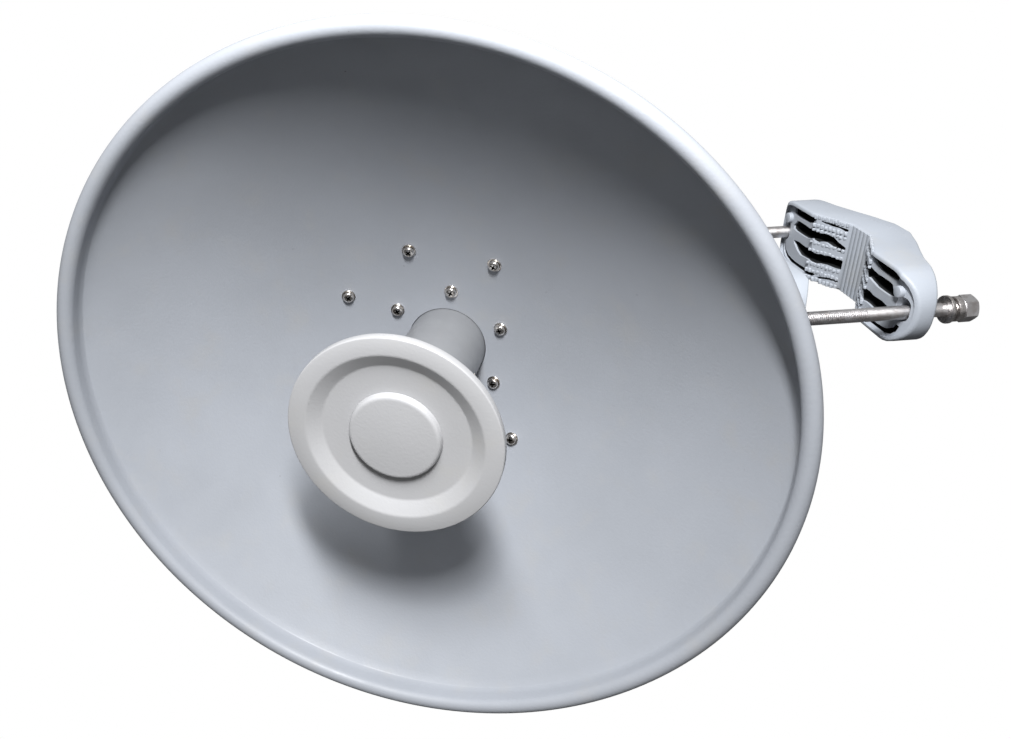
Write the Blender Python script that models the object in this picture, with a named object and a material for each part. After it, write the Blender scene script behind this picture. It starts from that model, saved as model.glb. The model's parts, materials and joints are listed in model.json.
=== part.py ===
"""Parabolic dish antenna for a pole: spun dish, tube feed, sub-reflector, tilt joint and two-jaw clamp.

The origin is the middle of the inner jaw's mast seat. +Z is up along the mast, and the dish looks along -Y.
Lengths are in metres.
"""

import math

import bmesh
import bpy
from mathutils import Matrix, Vector

# Driving dimensions
RIM_RADIUS = 0.300
BEAD_RADIUS = 0.007
SHELL = 0.002
BOWL_DEPTH = 0.145
FOCAL_LENGTH = 0.1585
CREASE_RADIUS = 0.2866
TUBE_RADIUS = 0.0354
SUB_RADIUS = 0.0857
BOLT_SPACING = 0.170
BOLT_RADIUS = 0.005
JAW_LENGTH = 0.197
JAW_WIDTH = 0.056
JAW_OPENING = 0.103
CLAMP_TURN = math.radians(22.6)

GAP = 0.0003
HOLE_PLAY = 0.0005
SHARP_ANGLE = math.radians(35)

# Sub-reflector, as heights in front of the rim plane: a flat ring, a step down to the middle, and a boss on it
SUB_FRONT = 0.022
SUB_EDGE_BACK = 0.0140
SUB_BACK = 0.009
SUB_MIDDLE = 0.0147
SUB_RING_INNER = 0.0711
SUB_MIDDLE_RADIUS = 0.0597
SUB_CHAMFER = 0.001
SUB_BOSS = ((0.0373, 0.0), (0.0366, 0.0030), (0.0358, 0.0045), (0.0342, 0.0054))

# The rim's centre from the mast seat, and the heights of the tilt axis and the clamp bolts
DISH_PLACE = (-0.2299, -0.1233, -0.1006)
BOLT_DROP = 0.0024

# Screws in the bowl: six on the inner ring, and five on the outer one, as (radius, angle in degrees)
INNER_RING = [(0.0547, 24.8 + 60 * step) for step in range(6)]
OUTER_RING = [(0.098, 62.7), (0.098, 107.7), (0.098, 152.8), (0.104, 266.6), (0.104, 308.8)]
SCREW_HOLE = 0.0029
SCREW_SHANK = 0.0024
SCREW_HEAD = 0.0049
SCREW_HEAD_HEIGHT = 0.0034
SCREW_WASHER = 0.0063
SCREW_WASHER_THICKNESS = 0.0014
SCREW_SEAT = 0.0006
SCREW_LENGTH = 0.0062
SCREW_SIDES = 10
HOLE_ABOVE = 0.006
BOWL_RINGS = 13
BOWL_SIDES = 64
PLATE_RINGS = 6
ROUND_SIDES = 40
BEAD_TURN = (180, -70)

# Hub plate and rear cap, measured along the boresight from the rim plane
PLATE_RADIUS = 0.112
PLATE_THICKNESS = 0.007
BOSS_RADIUS = 0.068
BOSS_FOOT = 0.004
BOSS_BACK = -0.172
TUBE_BACK = -0.186
CAP_RADIUS = 0.0425
CAP_BACK = -0.192
SOCKET_BACK = -0.212
SOCKET_OFFSET = 0.017
SOCKET_RADIUS = 0.0079
SOCKET_FLANGE_RADIUS = 0.011
SOCKET_FLANGE = 0.004

# Arm and tilt joint, in the dish's own frame
ARM_BACK = -0.186
ARM_WIDTH = 0.046
BEAM_START = 0.050
BEAM_END = 0.200
BEAM_BACK = -0.198
RING_INSET = 0.002
TILT_X = 0.150
TILT_DISC_RADIUS = 0.048
TILT_DISC_THICKNESS = 0.010
TILT_HEIGHT = 0.1006
TILT_BACK = -0.211
LOCK_RADIUS = 0.034
PIVOT_BOLT_RADIUS = 0.006
LOCK_BOLT_RADIUS = 0.004
PIVOT_FLATS = 0.018
LOCK_FLATS = 0.013
BRACKET_DISC_THICKNESS = 0.008
BRACKET_NECK = ((-0.023, -0.188), (0.023, -0.136))
NECK_END = 0.215
BRACKET_CUT = -0.088
ARM_SLOTS = ((75, 105), (255, 285))
BRACKET_SLOTS = ((88, 92), (268, 272))

# Jaw section, measured along the clamp bolts from the mast seat of its own jaw
SEAT_HALF = 0.0125
FLANK_END = 0.044
FLANK_RISE = 0.0165
TIP_END = 0.082
TIP_RISE = 0.0180
END_RISE = 0.0100
OUTER_BACK = ((0.0985, 0.003), (0.080, 0.007), (0.060, 0.013), (0.046, 0.019), (0.030, 0.0265), (0.010, 0.034))
INNER_BACK = ((0.0985, -0.002), (0.073, -0.002), (0.058, 0.016), (0.030, 0.0285), (0.010, 0.032))
END_ROUND = 0.026
WALL = 0.004
RIB = 0.004
RIB_PITCH = 0.014
POCKET_START = 0.0165
POCKET_END = 0.071
POCKET_FLOOR = 0.005
PAD_BACK = -0.035
PAD_FRONT = -0.010
PAD_ALONG = (-0.072, -0.004)
PAD_HALF_HEIGHT = 0.023
POCKET_MOUTH = -0.04
SLOT_HALF_WIDTH = 0.0062
SLOT_HALF_HEIGHT = 0.009

# Clamp bolts, measured from the inner jaw's mast seat
BOLT_END = -0.0095
HEAD_FACE = 0.1330
HEAD_HEIGHT = 0.0095
HEAD_ACROSS_FLATS = 0.017
WASHER_FACE = 0.1220
WASHER_RADIUS = 0.010
WASHER_THICKNESS = 0.0024
SPRING_WASHER_FACE = 0.1274
SPRING_WASHER_RADIUS = 0.009
SPRING_WASHER_THICKNESS = 0.0052
NUT_FACE = 0.0017
NUT_HEIGHT = 0.008
HEAD_SHARE = 1.3
NUT_SHARE = 1.6

# Far enough for a cutter to pass right through
THROUGH = 0.2

COATING = (0.52, 0.54, 0.56, 1)
COLOURS = {
    "dish_coating": (COATING, 0.0, 0.5),
    "feed_plastic": ((0.42, 0.43, 0.45, 1), 0.0, 0.45),
    "jaw_coating": ((0.50, 0.54, 0.60, 1), 0.0, 0.55),
    "stainless": ((0.55, 0.53, 0.50, 1), 1.0, 0.3),
    "plated_brass": ((0.75, 0.72, 0.65, 1), 1.0, 0.3),
}


def clear_scene():
    for obj in list(bpy.data.objects):
        bpy.data.objects.remove(obj, do_unlink=True)


def new_collection(name):
    collection = bpy.data.collections.new(name)
    bpy.context.scene.collection.children.link(collection)
    return collection


def new_material(name):
    colour, metallic, roughness = COLOURS[name]
    material = bpy.data.materials.new(name)
    material.use_nodes = True
    shader = material.node_tree.nodes["Principled BSDF"]
    shader.inputs["Base Color"].default_value = colour
    shader.inputs["Metallic"].default_value = metallic
    shader.inputs["Roughness"].default_value = roughness
    return material


def add_frame(name, place, turn):
    frame = bpy.data.objects.new(name, None)
    PARTS.objects.link(frame)
    frame.location = place
    frame.rotation_euler = turn
    return frame


def add_piece(name, mesh, finish, frame):
    piece = bpy.data.objects.new(name, mesh)
    PARTS.objects.link(piece)
    piece.parent = frame
    mesh.materials.clear()
    mesh.materials.append(MATERIALS[finish])
    mesh.shade_smooth()
    mesh.set_sharp_from_angle(angle=SHARP_ANGLE)
    return piece


def add_cutter(name, mesh, frame):
    cutter = bpy.data.objects.new(name, mesh)
    CUTTERS.objects.link(cutter)
    cutter.parent = frame
    cutter.hide_render = True
    cutter.display_type = "WIRE"
    return cutter


def combine(piece, cutter, operation="DIFFERENCE"):
    modifier = piece.modifiers.new(cutter.name, "BOOLEAN")
    modifier.operation = operation
    modifier.object = cutter
    return piece


def mesh_of(name, shape):
    bmesh.ops.recalc_face_normals(shape, faces=shape.faces)
    mesh = bpy.data.meshes.new(name)
    shape.to_mesh(mesh)
    shape.free()
    return mesh


def cylinder_mesh(name, radius, low, high, sides, centre=(0, 0), axis="Z"):
    """A cylinder from low to high along an axis, with its centre given in the other two."""
    shape = bmesh.new()
    bmesh.ops.create_cone(
        shape, cap_ends=True, segments=sides, radius1=radius, radius2=radius, depth=high - low
    )
    middle = (low + high) / 2
    if axis == "X":
        turn = Matrix.Rotation(math.pi / 2, 4, "Y")
        place = Vector((middle, *centre))
    elif axis == "Y":
        turn = Matrix.Rotation(math.pi / 2, 4, "X")
        place = Vector((centre[0], middle, centre[1]))
    else:
        turn = Matrix.Identity(4)
        place = Vector((*centre, middle))
    shape.transform(Matrix.Translation(place) @ turn)
    return mesh_of(name, shape)


def box_mesh(name, low, high):
    shape = bmesh.new()
    bmesh.ops.create_cube(shape, size=1)
    size = Vector(high) - Vector(low)
    middle = (Vector(high) + Vector(low)) / 2
    shape.transform(Matrix.Translation(middle) @ Matrix.Diagonal((*size, 1)))
    return mesh_of(name, shape)


def turned_mesh(name, section, steps):
    """A closed section of (radius, height) points, turned round Z."""
    shape = bmesh.new()
    corners = [shape.verts.new((radius, 0, height)) for radius, height in section]
    edges = [shape.edges.new((corners[i - 1], corners[i])) for i in range(len(corners))]
    bmesh.ops.spin(
        shape,
        geom=corners + edges,
        axis=(0, 0, 1),
        cent=(0, 0, 0),
        steps=steps,
        angle=math.tau,
        use_merge=True,
    )
    bmesh.ops.remove_doubles(shape, verts=shape.verts, dist=1e-6)
    return mesh_of(name, shape)


def outline_mesh(name, outline, low, high):
    """A flat outline in X and Y, filled and run from low to high along Z."""
    curve = bpy.data.curves.new(name, "CURVE")
    curve.dimensions = "2D"
    curve.fill_mode = "BOTH"
    curve.extrude = (high - low) / 2
    line = curve.splines.new("POLY")
    line.points.add(len(outline) - 1)
    for point, (x, y) in zip(line.points, outline):
        point.co = (x, y, 0, 1)
    line.use_cyclic_u = True
    guide = bpy.data.objects.new(name, curve)
    bpy.context.scene.collection.objects.link(guide)
    bpy.context.view_layer.update()
    drawn = guide.evaluated_get(bpy.context.evaluated_depsgraph_get())
    mesh = bpy.data.meshes.new_from_object(drawn)
    bpy.data.objects.remove(guide)
    bpy.data.curves.remove(curve)
    shape = bmesh.new()
    shape.from_mesh(mesh)
    bpy.data.meshes.remove(mesh)
    bmesh.ops.remove_doubles(shape, verts=shape.verts, dist=1e-6)
    bmesh.ops.translate(shape, verts=shape.verts, vec=(0, 0, (low + high) / 2))
    return mesh_of(name, shape)


def arc(centre, radius, start, end, count):
    """Points along an arc, angles in degrees."""
    return [
        (
            centre[0] + radius * math.cos(math.radians(start + (end - start) * i / (count - 1))),
            centre[1] + radius * math.sin(math.radians(start + (end - start) * i / (count - 1))),
        )
        for i in range(count)
    ]


def bowl_height(radius):
    return radius * radius / (4 * FOCAL_LENGTH) - BOWL_DEPTH


def surface_frame(radius, angle):
    """A matrix that stands on the bowl at a radius and an angle, with Z along the surface's normal."""
    slope = math.atan(radius / (2 * FOCAL_LENGTH))
    turn = Matrix.Rotation(angle, 4, "Z")
    return turn @ Matrix.Translation((radius, 0, bowl_height(radius))) @ Matrix.Rotation(-slope, 4, "Y")


def hexagon(across_flats):
    return arc((0, 0), across_flats / math.sqrt(3), 0, 300, 6)


def screw_holes(name, frame, low, high):
    """One cutter with every screw hole, standing along each screw."""
    shape = bmesh.new()
    for radius, degrees in INNER_RING + OUTER_RING:
        place = surface_frame(radius, math.radians(degrees))
        bmesh.ops.create_cone(
            shape,
            cap_ends=True,
            segments=SCREW_SIDES,
            radius1=SCREW_HOLE,
            radius2=SCREW_HOLE,
            depth=high - low,
            matrix=place @ Matrix.Translation((0, 0, (low + high) / 2)),
        )
    return add_cutter(name, mesh_of(name, shape), frame)


def reflector():
    hole = TUBE_RADIUS + HOLE_PLAY
    rings = [hole + (CREASE_RADIUS - hole) * i / (BOWL_RINGS - 1) for i in range(BOWL_RINGS)]
    bead_centre = (RIM_RADIUS - BEAD_RADIUS, 0)
    bead = arc(bead_centre, BEAD_RADIUS, *BEAD_TURN, 9)
    back = [(ring, bowl_height(ring) - SHELL) for ring in reversed(rings)]
    back[0] = (CREASE_RADIUS + SHELL, bowl_height(CREASE_RADIUS) - SHELL / 2)
    front = [(ring, bowl_height(ring)) for ring in rings]
    mesh = turned_mesh("reflector", bead + back + front, BOWL_SIDES)
    piece = add_piece("reflector", mesh, "dish_coating", DISH)
    holes = screw_holes("reflector_screw_holes", DISH, -HOLE_ABOVE, HOLE_ABOVE)
    return combine(piece, holes)


def hub_plate():
    bore = TUBE_RADIUS + 2 * HOLE_PLAY
    radii = [bore + (PLATE_RADIUS - bore) * i / (PLATE_RINGS - 1) for i in range(PLATE_RINGS)]
    front = [(radius, bowl_height(radius) - SHELL - GAP) for radius in radii]
    middle = (PLATE_RADIUS + BOSS_RADIUS) / 2
    back = [
        (radius, bowl_height(radius) - SHELL - GAP - PLATE_THICKNESS)
        for radius in (PLATE_RADIUS, middle, BOSS_RADIUS + BOSS_FOOT)
    ]
    boss = [(BOSS_RADIUS, BOSS_BACK), (bore, BOSS_BACK)]
    mesh = turned_mesh("hub_plate", front + back + boss, BOWL_SIDES)
    piece = add_piece("hub_plate", mesh, "jaw_coating", DISH)
    holes = screw_holes("hub_screw_holes", DISH, -SCREW_LENGTH - GAP, HOLE_ABOVE)
    return combine(piece, holes)


def bowl_screw(name, radius, degrees):
    """A pan head on a washer, with its shank down into the hub plate."""
    head = [
        (0, -SCREW_LENGTH),
        (SCREW_SHANK, -SCREW_LENGTH),
        (SCREW_SHANK, SCREW_SEAT),
        (SCREW_WASHER, SCREW_SEAT),
        (SCREW_WASHER, SCREW_WASHER_THICKNESS),
        (SCREW_HEAD, SCREW_WASHER_THICKNESS),
        (SCREW_HEAD, SCREW_WASHER_THICKNESS + SCREW_HEAD_HEIGHT / 2),
        (SCREW_HEAD * 0.6, SCREW_WASHER_THICKNESS + SCREW_HEAD_HEIGHT),
        (0, SCREW_WASHER_THICKNESS + SCREW_HEAD_HEIGHT),
    ]
    mesh = turned_mesh(name, head, SCREW_SIDES)
    piece = add_piece(name, mesh, "stainless", DISH)
    piece.matrix_local = surface_frame(radius, math.radians(degrees))
    return piece


def feed():
    tube = cylinder_mesh("feed_tube", TUBE_RADIUS, TUBE_BACK, SUB_BACK - GAP, ROUND_SIDES)
    add_piece("feed_tube", tube, "feed_plastic", DISH)
    plate = [
        (0, SUB_BACK),
        (SUB_MIDDLE_RADIUS, SUB_BACK),
        (SUB_RING_INNER, SUB_EDGE_BACK),
        (SUB_RADIUS - SUB_CHAMFER, SUB_EDGE_BACK),
        (SUB_RADIUS, SUB_EDGE_BACK + SUB_CHAMFER),
        (SUB_RADIUS, SUB_FRONT - SUB_CHAMFER),
        (SUB_RADIUS - SUB_CHAMFER, SUB_FRONT),
        (SUB_RING_INNER, SUB_FRONT),
        (SUB_MIDDLE_RADIUS, SUB_MIDDLE),
        (0, SUB_MIDDLE),
    ]
    add_piece("subreflector", turned_mesh("subreflector", plate, BOWL_SIDES), "dish_coating", DISH)
    side = [(radius, SUB_MIDDLE + GAP + rise) for radius, rise in SUB_BOSS]
    disc = [(0, side[0][1]), *side, (0, side[-1][1])]
    boss = turned_mesh("subreflector_boss", disc, ROUND_SIDES)
    add_piece("subreflector_boss", boss, "dish_coating", DISH)
    cap = cylinder_mesh("feed_cap", CAP_RADIUS, CAP_BACK, TUBE_BACK - GAP, ROUND_SIDES)
    add_piece("feed_cap", cap, "jaw_coating", DISH)
    section = [
        (0, SOCKET_BACK),
        (SOCKET_RADIUS, SOCKET_BACK),
        (SOCKET_RADIUS, CAP_BACK - SOCKET_FLANGE),
        (SOCKET_FLANGE_RADIUS, CAP_BACK - SOCKET_FLANGE),
        (SOCKET_FLANGE_RADIUS, CAP_BACK - GAP),
        (0, CAP_BACK - GAP),
    ]
    for name, hand in (("left_socket", -1), ("right_socket", 1)):
        socket = add_piece(name, turned_mesh(name, section, 20), "plated_brass", DISH)
        socket.location = (hand * SOCKET_OFFSET, 0, 0)


def arc_slot(radius, half_width, start, end):
    """The outline of a curved slot round the origin."""
    first = (radius * math.cos(math.radians(start)), radius * math.sin(math.radians(start)))
    last = (radius * math.cos(math.radians(end)), radius * math.sin(math.radians(end)))
    return (
        arc((0, 0), radius + half_width, start, end, 6)
        + arc(last, half_width, end, end + 180, 5)[1:-1]
        + arc((0, 0), radius - half_width, end, start, 6)
        + arc(first, half_width, start + 180, start + 360, 5)[1:-1]
    )


def hub_arm():
    """A ring on the hub's boss, and an arm that ends in the tilt joint's first disc."""
    front = BOSS_BACK - GAP
    ring_mesh = cylinder_mesh("hub_arm", BOSS_RADIUS - RING_INSET, ARM_BACK, front, ROUND_SIDES)
    ring = add_piece("hub_arm", ring_mesh, "jaw_coating", DISH)
    lean = math.atan2(TILT_HEIGHT, TILT_X)
    half = ARM_WIDTH / 2
    beam = box_mesh("arm_beam", (BEAM_START, -half, BEAM_BACK), (BEAM_END, half, front))
    beam.transform(Matrix.Rotation(lean, 4, "Z"))
    combine(ring, add_cutter("arm_beam", beam, DISH), "UNION")
    combine(ring, tilt_disc("arm_disc", TILT_X - TILT_DISC_THICKNESS, TILT_X), "UNION")
    beyond = box_mesh("arm_end", (TILT_X, 0, -2 * THROUGH), (2 * TILT_X, 2 * TILT_X, 0))
    combine(ring, add_cutter("arm_end", beyond, DISH))
    bore = cylinder_mesh("arm_bore", CAP_RADIUS + RING_INSET, -2 * THROUGH, 0, ROUND_SIDES)
    combine(ring, add_cutter("arm_bore", bore, DISH))
    tilt_holes(ring, "arm", ARM_SLOTS)
    return ring


def tilt_disc(name, low, high):
    disc = cylinder_mesh(name, TILT_DISC_RADIUS, low, high, ROUND_SIDES, (TILT_HEIGHT, TILT_BACK), "X")
    return add_cutter(name, disc, DISH)


def tilt_holes(piece, name, slots):
    """The pivot hole and the two lock slots through one disc of the tilt joint."""
    low = TILT_X - 2 * TILT_DISC_THICKNESS
    high = TILT_X + 2 * TILT_DISC_THICKNESS
    radius = PIVOT_BOLT_RADIUS + HOLE_PLAY
    pivot = cylinder_mesh(name + "_pivot_hole", radius, low, high, 16, (TILT_HEIGHT, TILT_BACK), "X")
    combine(piece, add_cutter(name + "_pivot_hole", pivot, DISH))
    for number, (start, end) in enumerate(slots):
        slot_name = f"{name}_slot_{number}"
        outline = arc_slot(LOCK_RADIUS, LOCK_BOLT_RADIUS + HOLE_PLAY, start, end)
        slot = outline_mesh(slot_name, outline, low, high)
        # The outline's X runs back along the boresight and its Y runs up
        slot.transform(
            Matrix.Translation((0, TILT_HEIGHT, TILT_BACK))
            @ Matrix(((0, 0, 1, 0), (0, 1, 0, 0), (-1, 0, 0, 0), (0, 0, 0, 1)))
        )
        combine(piece, add_cutter(slot_name, slot, DISH))


def tilt_bracket():
    """The tilt joint's second disc, with the neck that carries the inner jaw."""
    near = TILT_X + GAP
    (below, behind), (above, before) = BRACKET_NECK
    neck = box_mesh("tilt_bracket", (near, TILT_HEIGHT + below, behind), (NECK_END, TILT_HEIGHT + above, before))
    piece = add_piece("tilt_bracket", neck, "jaw_coating", DISH)
    combine(piece, tilt_disc("bracket_disc", near, near + BRACKET_DISC_THICKNESS), "UNION")
    beyond = box_mesh("bracket_end", (BRACKET_CUT, PAD_BACK - GAP, -THROUGH), (THROUGH, THROUGH, THROUGH))
    combine(piece, add_cutter("bracket_end", beyond, MAST))
    tilt_holes(piece, "bracket", BRACKET_SLOTS)
    return piece


def headed_bolt(name, head_low, head_high, shank_end, radius, across_flats, frame):
    """A hexagon bolt along Y of its frame, with its head from head_low to head_high."""
    head = outline_mesh(name, hexagon(across_flats), head_low, head_high)
    head.transform(ALONG_Y)
    piece = add_piece(name, head, "stainless", frame)
    low, high = sorted((shank_end, (head_low + head_high) / 2))
    shank = cylinder_mesh(name + "_shank", radius, low, high, 20, (0, 0), "Y")
    combine(piece, add_cutter(name + "_shank", shank, frame), "UNION")
    return piece


def nut(name, low, high, radius, across_flats, frame):
    body = outline_mesh(name, hexagon(across_flats), low, high)
    body.transform(ALONG_Y)
    piece = add_piece(name, body, "stainless", frame)
    hole = cylinder_mesh(name + "_hole", radius + HOLE_PLAY / 2, low - radius, high + radius, 20, (0, 0), "Y")
    combine(piece, add_cutter(name + "_hole", hole, frame))
    return piece


def washer(name, low, thickness, outer, inner, frame):
    section = [(inner, low), (outer, low), (outer, low + thickness), (inner, low + thickness)]
    mesh = turned_mesh(name, section, 24)
    mesh.transform(ALONG_Y)
    return add_piece(name, mesh, "stainless", frame)


def tilt_bolts():
    """The pivot bolt and the two lock bolts, each along X of the dish's frame with its nut on the bracket."""
    arm_face = TILT_X - TILT_DISC_THICKNESS - GAP
    bracket_face = TILT_X + BRACKET_DISC_THICKNESS + 2 * GAP
    for name, height, radius, flats in (
        ("pivot", 0, PIVOT_BOLT_RADIUS, PIVOT_FLATS),
        ("upper_lock", LOCK_RADIUS, LOCK_BOLT_RADIUS, LOCK_FLATS),
        ("lower_lock", -LOCK_RADIUS, LOCK_BOLT_RADIUS, LOCK_FLATS),
    ):
        # This frame's Y runs along the tilt axis
        axis = add_frame(name + "_axis", (0, TILT_HEIGHT + height, TILT_BACK), (0, 0, -math.pi / 2))
        axis.parent = DISH
        head = radius * HEAD_SHARE
        nut_end = bracket_face + radius * NUT_SHARE
        headed_bolt(name + "_bolt", arm_face - head, arm_face, nut_end + GAP * 4, radius, flats, axis)
        nut(name + "_nut", bracket_face, nut_end, radius, flats, axis)


def jaw_section(back, side):
    """Half of a jaw's section from the middle of its seat, then back along its outer side."""
    rise = [
        (SEAT_HALF, 0),
        (FLANK_END, FLANK_RISE),
        (TIP_END, TIP_RISE),
        (JAW_LENGTH / 2, END_RISE),
    ]
    return [(side * along, -height) for along, height in rise], [(side * along, depth) for along, depth in back]


def whole_section(back):
    right_face, right_back = jaw_section(back, 1)
    left_face, left_back = jaw_section(back, -1)
    return right_face + right_back + list(reversed(left_back)) + list(reversed(left_face))


def jaw(name, back, opening, towards, frame, pad=None):
    """A jaw with its seat at the given place along the bolts. towards is 1 where its back is further out."""
    outline = [(along, opening + towards * depth) for along, depth in whole_section(back)]
    body = outline_mesh(name, outline, -JAW_WIDTH / 2, JAW_WIDTH / 2)
    piece = add_piece(name, body, "jaw_coating", frame)

    reach = JAW_LENGTH / 2 - END_ROUND
    half = JAW_WIDTH / 2
    side = half - END_ROUND
    ends = (
        arc((reach, side), END_ROUND, 90, 0, 6)
        + arc((reach, -side), END_ROUND, 0, -90, 6)
        + arc((-reach, -side), END_ROUND, 270, 180, 6)
        + arc((-reach, side), END_ROUND, 180, 90, 6)
    )
    plan = outline_mesh(name + "_plan", ends, -THROUGH, THROUGH)
    plan.transform(Matrix.Rotation(math.pi / 2, 4, "X"))
    combine(piece, add_cutter(name + "_plan", plan, frame), "INTERSECT")
    if pad:
        combine(piece, add_cutter(name + "_pad", box_mesh(name + "_pad", *pad), frame), "UNION")

    floor = [(along, depth - POCKET_FLOOR) for along, depth in back if POCKET_START < along < POCKET_END]
    floor = [(POCKET_END, floor_depth(back, POCKET_END)), *floor, (POCKET_START, floor_depth(back, POCKET_START))]
    rows = [
        (-half + WALL, -RIB_PITCH - RIB / 2),
        (-RIB_PITCH + RIB / 2, -RIB / 2),
        (RIB / 2, RIB_PITCH - RIB / 2),
        (RIB_PITCH + RIB / 2, half - WALL),
    ]
    for hand in (1, -1):
        mouth = [(POCKET_START, POCKET_MOUTH), (POCKET_END, POCKET_MOUTH)]
        pocket = [(hand * along, opening + towards * depth) for along, depth in mouth + floor]
        for number, (low, high) in enumerate(rows):
            cutter_name = f"{name}_pocket_{number}_{'far' if hand < 0 else 'near'}"
            cut = outline_mesh(cutter_name, pocket, low, high)
            combine(piece, add_cutter(cutter_name, cut, frame))
        slot = (
            arc((0, SLOT_HALF_HEIGHT - SLOT_HALF_WIDTH), SLOT_HALF_WIDTH, 0, 180, 7)
            + arc((0, SLOT_HALF_WIDTH - SLOT_HALF_HEIGHT), SLOT_HALF_WIDTH, 180, 360, 7)
        )
        slot_name = f"{name}_bolt_slot_{'far' if hand < 0 else 'near'}"
        hole = outline_mesh(slot_name, slot, -THROUGH, THROUGH)
        hole.transform(
            Matrix.Translation((hand * BOLT_SPACING / 2, 0, 0)) @ Matrix.Rotation(math.pi / 2, 4, "X")
        )
        combine(piece, add_cutter(slot_name, hole, frame))
    return piece


def floor_depth(back, along):
    """The depth of a pocket's floor at a place along the jaw, read along the back's outline."""
    for (outer, outer_depth), (inner, inner_depth) in zip(back, back[1:]):
        if inner <= along <= outer:
            share = (along - inner) / (outer - inner)
            return inner_depth + (outer_depth - inner_depth) * share - POCKET_FLOOR
    return back[-1][1] - POCKET_FLOOR


def jaws():
    start, end = PAD_ALONG
    pad = ((start, PAD_BACK, -PAD_HALF_HEIGHT), (end, PAD_FRONT, PAD_HALF_HEIGHT))
    jaw("inner_jaw", INNER_BACK, 0, -1, MAST, pad)
    jaw("outer_jaw", OUTER_BACK, JAW_OPENING, 1, MAST)


def clamp_bolts():
    for name, side in (("near", 1), ("far", -1)):
        axis = add_frame(name + "_bolt_axis", (side * BOLT_SPACING / 2, 0, -BOLT_DROP), (0, 0, 0))
        axis.parent = MAST
        headed_bolt(
            name + "_clamp_bolt",
            HEAD_FACE,
            HEAD_FACE + HEAD_HEIGHT,
            BOLT_END,
            BOLT_RADIUS,
            HEAD_ACROSS_FLATS,
            axis,
        )
        bore = BOLT_RADIUS + GAP
        washer(name + "_flat_washer", WASHER_FACE, WASHER_THICKNESS, WASHER_RADIUS, bore, axis)
        washer(
            name + "_spring_washer",
            SPRING_WASHER_FACE,
            SPRING_WASHER_THICKNESS,
            SPRING_WASHER_RADIUS,
            bore,
            axis,
        )
        nut(name + "_clamp_nut", NUT_FACE - NUT_HEIGHT, NUT_FACE, BOLT_RADIUS, HEAD_ACROSS_FLATS, axis)


ALONG_Y = Matrix.Rotation(-math.pi / 2, 4, "X")

clear_scene()
PARTS = new_collection("parabolic_dish_antenna")
CUTTERS = new_collection("cutters")
MATERIALS = {name: new_material(name) for name in COLOURS}
# The dish's frame has Z along the boresight and Y up, and the mast's frame has Y along the clamp bolts
DISH = add_frame("dish_frame", DISH_PLACE, (math.pi / 2, 0, 0))
MAST = add_frame("mast_frame", (0, 0, 0), (0, 0, CLAMP_TURN - math.pi / 2))

reflector()
hub_plate()
for ring_name, ring in (("inner", INNER_RING), ("outer", OUTER_RING)):
    for count, (screw_radius, screw_angle) in enumerate(ring, 1):
        bowl_screw(f"{ring_name}_screw_{count}", screw_radius, screw_angle)
feed()
hub_arm()
tilt_bracket()
tilt_bolts()
jaws()
clamp_bolts()
bpy.context.view_layer.update()
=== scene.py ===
"""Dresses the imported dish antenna: turned dish and feed, cast clamp jaws, threaded bolts, screws and paint."""

import json
import math
import random

import bmesh
import bpy
from mathutils import Matrix, Vector


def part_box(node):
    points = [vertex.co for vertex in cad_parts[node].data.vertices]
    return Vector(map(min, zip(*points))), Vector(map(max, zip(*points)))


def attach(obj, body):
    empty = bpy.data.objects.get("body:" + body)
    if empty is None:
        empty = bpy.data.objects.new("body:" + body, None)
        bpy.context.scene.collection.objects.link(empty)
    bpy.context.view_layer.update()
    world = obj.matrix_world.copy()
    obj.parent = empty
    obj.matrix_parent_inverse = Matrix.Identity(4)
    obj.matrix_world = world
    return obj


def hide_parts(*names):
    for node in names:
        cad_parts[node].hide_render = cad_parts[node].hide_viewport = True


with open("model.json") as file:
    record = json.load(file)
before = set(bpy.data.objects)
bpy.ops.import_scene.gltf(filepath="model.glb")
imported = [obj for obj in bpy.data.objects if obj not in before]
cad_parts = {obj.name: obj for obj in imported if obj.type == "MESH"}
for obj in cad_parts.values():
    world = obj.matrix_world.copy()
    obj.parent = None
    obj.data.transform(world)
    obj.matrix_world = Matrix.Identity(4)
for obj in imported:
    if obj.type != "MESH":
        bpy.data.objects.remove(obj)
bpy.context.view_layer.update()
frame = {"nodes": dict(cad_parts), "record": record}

# The dish's frame has Z along the boresight and Y up, and the mast's has Y along the clamp bolts
DISH_PLACE = (-0.2299, -0.1233, -0.1006)
DISH = Matrix.Translation(DISH_PLACE) @ Matrix.Rotation(math.pi / 2, 4, "X")
MAST = Matrix.Rotation(math.radians(22.6 - 90), 4, "Z")
ALONG_Y = Matrix.Rotation(-math.pi / 2, 4, "X")

FOCAL_LENGTH = 0.1585
BOWL_DEPTH = 0.145
RIM_RADIUS = 0.300
BEAD_RADIUS = 0.007
CREASE_RADIUS = 0.2866
SHELL = 0.002
TUBE_RADIUS = 0.0354
BOLT_ALONG = 0.085
BOLT_DROP = 0.0024
JAW_HALF_LENGTH = 0.0985
JAW_HALF_WIDTH = 0.028
JAW_OPENING = 0.103
JAW_END_ROUND = 0.026
JAW_WALL = 0.0032
SLOT_HALF_WIDTH = 0.0062
SLOT_HALF_HEIGHT = 0.009


# Finishes


def new_material(name):
    material = bpy.data.materials.new(name)
    material.use_nodes = True
    return material, material.node_tree, material.node_tree.nodes["Principled BSDF"]


def add_node(tree, kind, **settings):
    node = tree.nodes.new(kind)
    for key, value in settings.items():
        setattr(node, key, value)
    return node


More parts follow.
